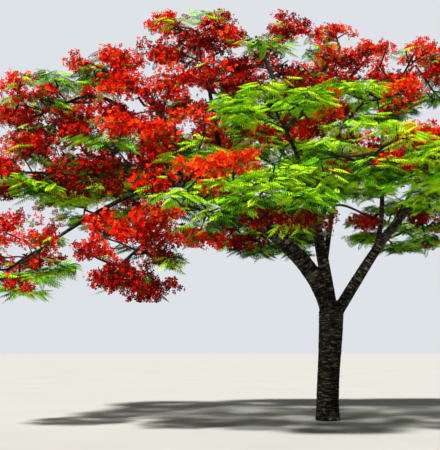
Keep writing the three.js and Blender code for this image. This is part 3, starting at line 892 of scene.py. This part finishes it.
def twig_material():
    """Smooth young bark: two grey-browns mixed by soft noise, faintly rough."""
    made, place, feed = material("twig_bark", roughness=0.75, gloss=0.3)
    tone = place.noise(TWIG_TONE_SCALE, detail=2.0).clamped(low=0.4, high=0.65)
    grain = place.noise(TWIG_BUMP_SCALE, detail=2.0)
    bump = place.node("Bump", Strength=0.3, Distance=0.004, Height=grain)
    feed(Base_Color=tone.blend(*TWIG_TONES), Normal=bump)
    return made


twigs.data.materials.append(twig_material())
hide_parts(*mass_names)
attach(twigs, "root")


# The leaves
# Each is a long feathery leaf: a thin rib with eight pairs of narrow side leaflets, which are
# themselves combs of tiny leaflets. They stand in flat tiers at the ends of the leafy shoots, one
# or none on a flowering one, and droop at their tips.

LEAF_LENGTH = 0.36
LEAF_LENGTHS = (0.75, 0.5)  # of that length: the least, and what a draw may add
LEAVES_ON_SHOOT = 4
LEAF_BY_BLOSSOM = 0.32  # the share of flowering shoots that have a leaf
LEAF_SPACING = 0.05
LEAF_FAN = 0.8  # the angle between the leaves of a shoot, and how much a draw may turn one
LEAF_PLAY = 0.6
LEAF_SLOPES = (-0.32, 0.5)
LEAF_ROLL = 1.0
LEAF_SAGS = (0.1, 0.25)
LEAF_EASE = 1.1
LEAF_ROOM = 0.02

# One leaf of unit length.
LEAF_PAIRS = 8
LEAFLET_ROOTS = (0.15, 0.81)  # the leaf's bare stalk, and the stretch that bears leaflets
LEAFLET_REACH = 0.25  # the longest side leaflet
LEAFLET_WIDTH = 0.031
LEAFLET_MIDDLE = 0.45  # where along itself it is widest
LEAF_OUTLINE = (0.16, 0.76)  # the stretch of a sine that the leaflets' lengths follow
OUTLINE_POWER = 0.7
LEAFLET_SLANT = (68, 26)  # degrees from the rib at the stalk, and how much less at the tip
LEAFLET_DROOP = 0.9
LEAF_END = 0.97
END_LEAFLET = 0.16
RIB_HALF_WIDTHS = (0.006, 0.004)

# The greens, from painted shade to painted sun, and the shares of the leaves up to each border between
# them.
LEAF_TONES = [
    ("leaves_shade", (0.008, 0.045, 0.002), (0.045, 0.180, 0.004)),
    ("leaves_half_shaded", (0.075, 0.350, 0.004), (0.260, 0.780, 0.009)),
    ("leaves_half_lit", (0.230, 0.740, 0.006), (0.590, 1.000, 0.015)),
    ("leaves_bright", (0.440, 0.920, 0.010), (0.840, 1.000, 0.026)),
]
LEAF_TONE_BORDERS = (0.25, 0.46, 0.70)

# How much a leaf's tone depends on its shoot, its branchlet, its height in its mass, its own draw
# and the shade of blossom. The draws deal tones at random; the height and the blossom are painted
# light and shade: higher leaves get sunnier greens, leaves on flowering shoots darker ones.
BY_SHOOT, BY_BRANCHLET, BY_HEIGHT, BY_LEAF, BY_BLOSSOM = 0.3, 0.25, 0.15, 0.25, 0.15

COMB_SCALE = 4.5
COMB_DISTORTION = 0.4
GAP_SHADE = 0.45
LEAF_TONE_SCALE = 9.0


def leaf_template():
    """Corners (along, across, up) and four-sided faces of one leaf of unit length, with each corner's
    place along and across its leaflet. A leaflet is a kite that leaves the rib at a slant, and its
    length follows a sine along the rib."""
    corners, spots = [], []
    kite_along = np.array([0, LEAFLET_MIDDLE, 1, LEAFLET_MIDDLE])
    kite_across = np.array([0, 1, 0, -1])
    for pair in range(LEAF_PAIRS):
        share = (pair + 0.5) / LEAF_PAIRS
        root = LEAFLET_ROOTS[0] + LEAFLET_ROOTS[1] * share
        bulge = np.sin(np.pi * (LEAF_OUTLINE[0] + LEAF_OUTLINE[1] * share))
        reach = LEAFLET_REACH * bulge**OUTLINE_POWER
        slant = np.radians(LEAFLET_SLANT[0] - LEAFLET_SLANT[1] * share)
        for hand in (1, -1):
            way = np.array([np.cos(slant), hand * np.sin(slant)])
            flat = np.array([root, 0]) + np.outer(kite_along * reach, way)
            flat += np.outer(kite_across * LEAFLET_WIDTH, [-way[1], way[0]])
            corners += [(x, y, -LEAFLET_DROOP * abs(y) ** 2 / LEAFLET_REACH) for x, y in flat]
            spots += list(zip(kite_along, kite_across * 0.5 + 0.5))
    end = LEAF_END + kite_along * END_LEAFLET
    corners += [(x, y * LEAFLET_WIDTH, 0) for x, y in zip(end, kite_across)]
    spots += list(zip(kite_along, kite_across * 0.5 + 0.5))
    wide, slim = RIB_HALF_WIDTHS
    for low, high in ((0, 0.5), (0.5, LEAF_END)):
        corners += [(low, wide, 0), (low, -wide, 0), (high, -slim, 0), (high, slim, 0)]
        spots += [(0, 0.5)] * 4
    return np.array(corners), np.arange(len(corners)).reshape(-1, 4), np.array(spots)


def placed(template, at, ahead, normal, size, sag):
    """Copies of a template: at + size * (along * ahead + across * side + up * normal), less
    size * sag * along squared straight down."""
    side = unit(np.cross(normal, ahead))
    axes = np.stack([ahead, side, np.cross(ahead, side)], 1)
    corners = template @ axes
    corners = corners - (sag[:, None] * template[:, 0] ** 2)[..., None] * UP
    return at[:, None] + size[:, None, None] * corners


def sprays(name, template, faces, spots, chosen, finish):
    """One joined mesh of all the chosen copies, with its UV map and its own material."""
    copies = placed(template, *chosen)
    count, size = copies.shape[:2]
    quads = (faces[None] + np.arange(count)[:, None, None] * size).reshape(-1, 4)
    obj = piece(name, copies.reshape(-1, 3), quads, smooth=False)
    uv = np.tile(spots[faces.ravel()], (count, 1)).astype(np.float32)
    obj.data.uv_layers.new(name="UVMap").data.foreach_set("uv", uv.ravel())
    obj.data.materials.append(finish)
    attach(obj, "root")


def within_box(points, room):
    """Whether points keep that much room inside the box of the whole tree."""
    low, high = np.array(cad_box[0]), np.array(cad_box[1])
    return np.all((points > low + room) & (points < high - room), axis=-1)


shoot_number = np.arange(len(shoot_tip))
shoot_host = host[bearer]
in_flower = flowering[bearer]
shoot_way = unit(shoot_tip - shoot_foot)
out_angle = np.arctan2(shoot_way[:, 1], shoot_way[:, 0])

leaves, leaf_shoot = [], []
for n in range(LEAVES_ON_SHOOT):
    draw = shoot_number * LEAVES_ON_SHOOT + n
    from_middle = (n - (LEAVES_ON_SHOOT - 1) / 2) * LEAF_FAN
    angle = out_angle + from_middle + LEAF_PLAY * (chance(41, draw) - 0.5)
    slope = drawn(*LEAF_SLOPES, 42, draw)
    way = unit(np.stack([np.cos(angle), np.sin(angle), slope], -1))
    roll = LEAF_ROLL * (chance(43, draw) - 0.5)
    across = unit(np.cross(UP, way))
    face = unit(unit(np.cross(way, across)) + roll[:, None] * across)
    length = LEAF_LENGTH * drawn(*LEAF_LENGTHS, 44, draw)
    root = shoot_tip - shoot_way * (LEAF_SPACING * n)
    sag = drawn(*LEAF_SAGS, 46, draw)
    ends = root + way * length[:, None] - UP * (sag * length)[:, None]
    grows = ~in_flower | ((n == 0) & (chance(47, draw) < LEAF_BY_BLOSSOM))
    grows &= inside(ends, shoot_host, LEAF_EASE) & within_box(ends, LEAF_ROOM)
    leaves.append([v[grows] for v in (root, way, face, length, sag)])
    leaf_shoot.append(shoot_number[grows])
leaves = [np.concatenate(v) for v in zip(*leaves)]
leaf_shoot = np.concatenate(leaf_shoot)


def leaf_material(name, deep, fresh):
    """Two greens mixed by soft noise, with painted shade in the gaps between the tiny leaflets along
    each comb.
    """
    made, place, feed = material(name, roughness=0.75, gloss=0.05)
    uv = place.node("TexCoord", out="UV")
    bands = {"wave_type": "BANDS", "bands_direction": "X"}
    comb = uv.node("TexWave", bands, Vector=uv, Scale=COMB_SCALE, Distortion=COMB_DISTORTION)
    tone = place.noise(LEAF_TONE_SCALE, detail=3.0).clamped(low=0.38, high=0.62)
    leaflets = comb.clamped(low=0.05, high=0.4)
    # Painted shade: the gaps between the tiny leaflets are a darker copy of the deep green.
    colour = leaflets.blend(tuple(GAP_SHADE * c for c in deep), tone.blend(deep, fresh))
    bump = place.node("Bump", Strength=0.25, Distance=0.003, Height=comb)
    feed(Base_Color=colour, Normal=bump)
    return made


template, faces, spots = leaf_template()
leaf_bearer = bearer[leaf_shoot]
tone_draw = BY_SHOOT * chance(51, leaf_shoot) + BY_BRANCHLET * chance(52, leaf_bearer)
# Painted light and shade: leaves higher in their mass get sunnier greens, and leaves on flowering
# shoots darker ones.
tone_draw += BY_HEIGHT * rise[leaf_bearer]
tone_draw += BY_LEAF * chance(53, np.arange(len(leaf_shoot))) - BY_BLOSSOM * in_flower[leaf_shoot]
tones = np.digitize(tone_draw, np.quantile(tone_draw, LEAF_TONE_BORDERS))
for tone, (name, deep, fresh) in enumerate(LEAF_TONES):
    chosen = [v[tones == tone] for v in leaves]
    sprays(name, template, faces, spots, chosen, leaf_material(name, deep, fresh))


# The blossom
# Flowers as wide as a hand, each of five spoon-shaped scarlet petals, one of them held up, on a
# short stalk. They stand in loose heads all round the ends of the flowering shoots.

FLOWER_RADIUS = 0.057
FLOWER_SIZES = (0.8, 0.45)  # of that radius: the least, and what a draw may add
FLOWERS_IN_HEAD = 10
FLOWER_ROOM = 0.05
HEAD_RADIUS = 0.15
HEAD_SIZES = (0.7, 0.6)
HEAD_SHELL = (0.55, 0.5)
HEAD_FLATTEN = 0.85
HEAD_TOP = 0.97
HEAD_DROP = 1.6
FACING_PLAY = 0.7
FLOWER_TILT = 0.2

# One flower of unit radius: a petal's corners along, across and up.
PETALS = 5
PETAL_CORNERS = ((0.04, 0, 0), (0.62, 0.36, 0.8), (1, 0, 1), (0.62, -0.36, 0.8))
PETAL_LIFT = 0.22
UPRIGHT_LIFT = 0.75
STALK = 1.7
STALK_CORNERS = [(0, 0, 0.1), (0.06, 0, -0.2), (0, 0, -STALK), (-0.06, 0, -0.2)]
STALK_SPOTS = [(0.9, 0.5), (0.95, 0.6), (0.98, 0.5), (0.95, 0.4)]

# The reds, from painted shade to painted sun, and the shares of the flowers up to each border between
# them.
BLOSSOM_TONES = [
    ("blossom_shaded_crimson", (0.080, 0.001, 0.001), (0.220, 0.002, 0.001)),
    ("blossom_scarlet", (0.340, 0.002, 0.001), (0.800, 0.006, 0.002)),
    ("blossom_vermilion", (0.640, 0.003, 0.001), (1.000, 0.018, 0.003)),
    ("blossom_sunlit_orange", (0.860, 0.018, 0.003), (1.000, 0.140, 0.010)),
]
BLOSSOM_TONE_BORDERS = (0.36, 0.62, 0.87)

# How much a flower's tone depends on its head, its clump, its height in its mass and its own draw.
# The draws deal tones at random; the height is painted light: higher flowers get sunnier reds.
BY_HEAD, BY_CLUMP, BY_RISE, BY_FLOWER = 0.25, 0.3, 0.14, 0.3

MOTTLE_TONE = (0.85, 0.16, 0.03)
MOTTLE_SHARE = 0.45
STALK_TONE = (0.14, 0.06, 0.015)
UPRIGHT_ENDS = (0.15, 0.17)  # along the UV map, where the first petal's stretch ends
STALK_BEGINS = (0.86, 0.88)
PETAL_TONE_SCALE = 22.0
MOTTLE_SCALE = 140.0
PETAL_BUMP_SCALE = 90.0


def flower_template():
    """Corners and faces of one flower of unit radius: five kites round the throat, lifted at their
    broad middles, and a narrow kite down its axis for the stalk. A corner's spot is its place along
    the petal, counted on from petal to petal, and across it."""
    corners, spots = [], []
    for petal in range(PETALS):
        angle = 2 * np.pi * petal / PETALS
        way = np.array([np.cos(angle), np.sin(angle)])
        across = np.array([-np.sin(angle), np.cos(angle)])
        lift = UPRIGHT_LIFT if petal == 0 else PETAL_LIFT
        for along, wide, up in PETAL_CORNERS:
            x, y = way * along + across * wide
            corners.append((x, y, up * lift))
            spots.append(((along + petal) / (PETALS + 1), 0.5 + wide))
    corners += STALK_CORNERS
    spots += STALK_SPOTS
    return np.array(corners), np.arange(len(corners)).reshape(-1, 4), np.array(spots)


head_shoot = shoot_number[in_flower]
head_number = np.arange(len(head_shoot))
n = np.arange(FLOWERS_IN_HEAD)
draw = head_number[:, None] * FLOWERS_IN_HEAD + n
turn = GOLDEN_ANGLE * n + ANY_TURN * chance(71, head_number)[:, None]
facing = ways_round(turn, HEAD_TOP - HEAD_DROP * (n + 0.5) / FLOWERS_IN_HEAD)
play = np.stack([chance(seed, draw) for seed in (72, 73, 74)], -1) - 0.5
facing = unit(facing + FACING_PLAY * play)
head_size = HEAD_RADIUS * drawn(*HEAD_SIZES, 75, head_number)[:, None]
away = head_size * drawn(*HEAD_SHELL, 77, draw)
flower_at = shoot_tip[head_shoot][:, None] + facing * away[..., None] * [1, 1, HEAD_FLATTEN]
level_way = np.cross(facing, UP + 1e-3)  # off the vertical, for a flower that faces straight up
flower_ahead = unit(level_way + FLOWER_TILT * facing)
flower_size = FLOWER_RADIUS * drawn(*FLOWER_SIZES, 76, draw)
flower_grows = within_box(flower_at, FLOWER_ROOM)


def petal_material(name, deep, bright):
    """Scarlet mixed from two reds by noise, a paler mottled upright petal and a dull brown stalk."""
    made, place, feed = material(name, roughness=0.8, gloss=0.02)
    uv = place.node("TexCoord", out="UV")
    along = uv.node("SeparateXYZ", out=0, Vector=uv)
    tone = place.noise(PETAL_TONE_SCALE, detail=2.0).clamped(low=0.4, high=0.6)
    colour = tone.blend(deep, bright)
    upright = 1 - along.clamped(*UPRIGHT_ENDS)
    mottles = place.noise(MOTTLE_SCALE, detail=2.0).clamped(low=0.5, high=0.6)
    mottles = upright * mottles * MOTTLE_SHARE
    colour = mottles.blend(colour, MOTTLE_TONE)
    colour = along.clamped(*STALK_BEGINS).blend(colour, STALK_TONE)
    veins = place.noise(PETAL_BUMP_SCALE, detail=3.0)
    bump = place.node("Bump", Strength=0.3, Distance=0.002, Height=veins)
    feed(Base_Color=colour, Normal=bump)
    return made


template, faces, spots = flower_template()
head_bearer = bearer[head_shoot]
head_draw = BY_HEAD * chance(81, head_number) + BY_CLUMP * chance(82, clump[head_bearer])
# Painted light: flowers higher in their mass get sunnier reds.
tone_draw = (head_draw + BY_RISE * rise[head_bearer])[:, None] + BY_FLOWER * chance(83, draw)
tones = np.digitize(tone_draw, np.quantile(tone_draw, BLOSSOM_TONE_BORDERS))
for tone, (name, deep, bright) in enumerate(BLOSSOM_TONES):
    chosen = flower_grows & (tones == tone)
    copies = [v[chosen] for v in (flower_at, flower_ahead, facing, flower_size, np.zeros(chosen.shape))]
    sprays(name, template, faces, spots, copies, petal_material(name, deep, bright))


# The floor, the camera and the light
# Plain pale floor and air, a key light from high on the front left, a wide weak fill from the left
# and a weaker light from behind on the edges of the crown. The camera stands at eye level.

FLOOR_TONES = ((0.37, 0.37, 0.36), (0.39, 0.39, 0.38))
FLOOR_TONE_SCALE = 0.4

CAMERA_PLACE = (-2.338, -19.0, 1.6)
CAMERA_RISE = 8.055  # degrees above the level
LENS = 68.4  # millimetres, on a picture 36 mm wide

# Each light's direction, its width in degrees, its strength and its colour.
LAMPS = {
    "key": ((0.3, 0.4, -0.9), 6, 7.4, (1.0, 0.97, 0.91)),
    "fill": ((0.9, 0.4, -0.18), 20, 0.7, (0.95, 0.97, 1.0)),
    "rim": ((-0.2, -1.0, -0.8), 20, 0.5, (1.0, 0.98, 0.95)),
}
AIR_TONE = (0.86, 0.90, 0.95)
AIR_LIGHT = 0.05  # the strength that lights the tree, and what the camera sees besides
AIR_SEEN = 0.8

bpy.ops.mesh.primitive_circle_add(vertices=96, radius=160, fill_type="NGON")
floor = bpy.context.object
floor.name = "floor"
made, place, feed = material("pale_floor", roughness=0.9, gloss=0.1)
tone = place.noise(FLOOR_TONE_SCALE, detail=2.0).clamped(low=0.3, high=0.7)
feed(Base_Color=tone.blend(*FLOOR_TONES))
floor.data.materials.append(made)

camera = bpy.data.objects.new("camera", bpy.data.cameras.new("camera"))
bpy.context.scene.collection.objects.link(camera)
camera.location = CAMERA_PLACE
camera.rotation_euler = (np.radians(90 + CAMERA_RISE), 0, 0)
camera.data.sensor_width = 36
camera.data.lens = LENS
camera.data.clip_end = 500
bpy.context.scene.camera = camera


def lamp(name, way, spread, strength, colour):
    """A far, wide light that shines along a direction, so that it is the same all over the floor."""
    light = bpy.data.lights.new(name, "SUN")
    light.angle = np.radians(spread)
    light.energy = strength
    light.color = colour
    obj = bpy.data.objects.new(name, light)
    x, y, z = way
    obj.rotation_euler = (np.arctan2(np.hypot(x, y), -z), 0, np.arctan2(y, x) - np.pi / 2)
    bpy.context.scene.collection.objects.link(obj)


for name, values in LAMPS.items():
    lamp(name, *values)

world = bpy.data.worlds.new("pale_air")
bpy.context.scene.world = world
world.use_nodes = True
background = world.node_tree.nodes["Background"]
background.inputs["Color"].default_value = (*AIR_TONE, 1)
seen = Socket(world.node_tree, None).node("LightPath", out="Is Camera Ray")
world.node_tree.links.new((seen * AIR_SEEN + AIR_LIGHT).link, background.inputs["Strength"])
bpy.context.scene.view_settings.view_transform = "Standard"

bpy.context.view_layer.update()
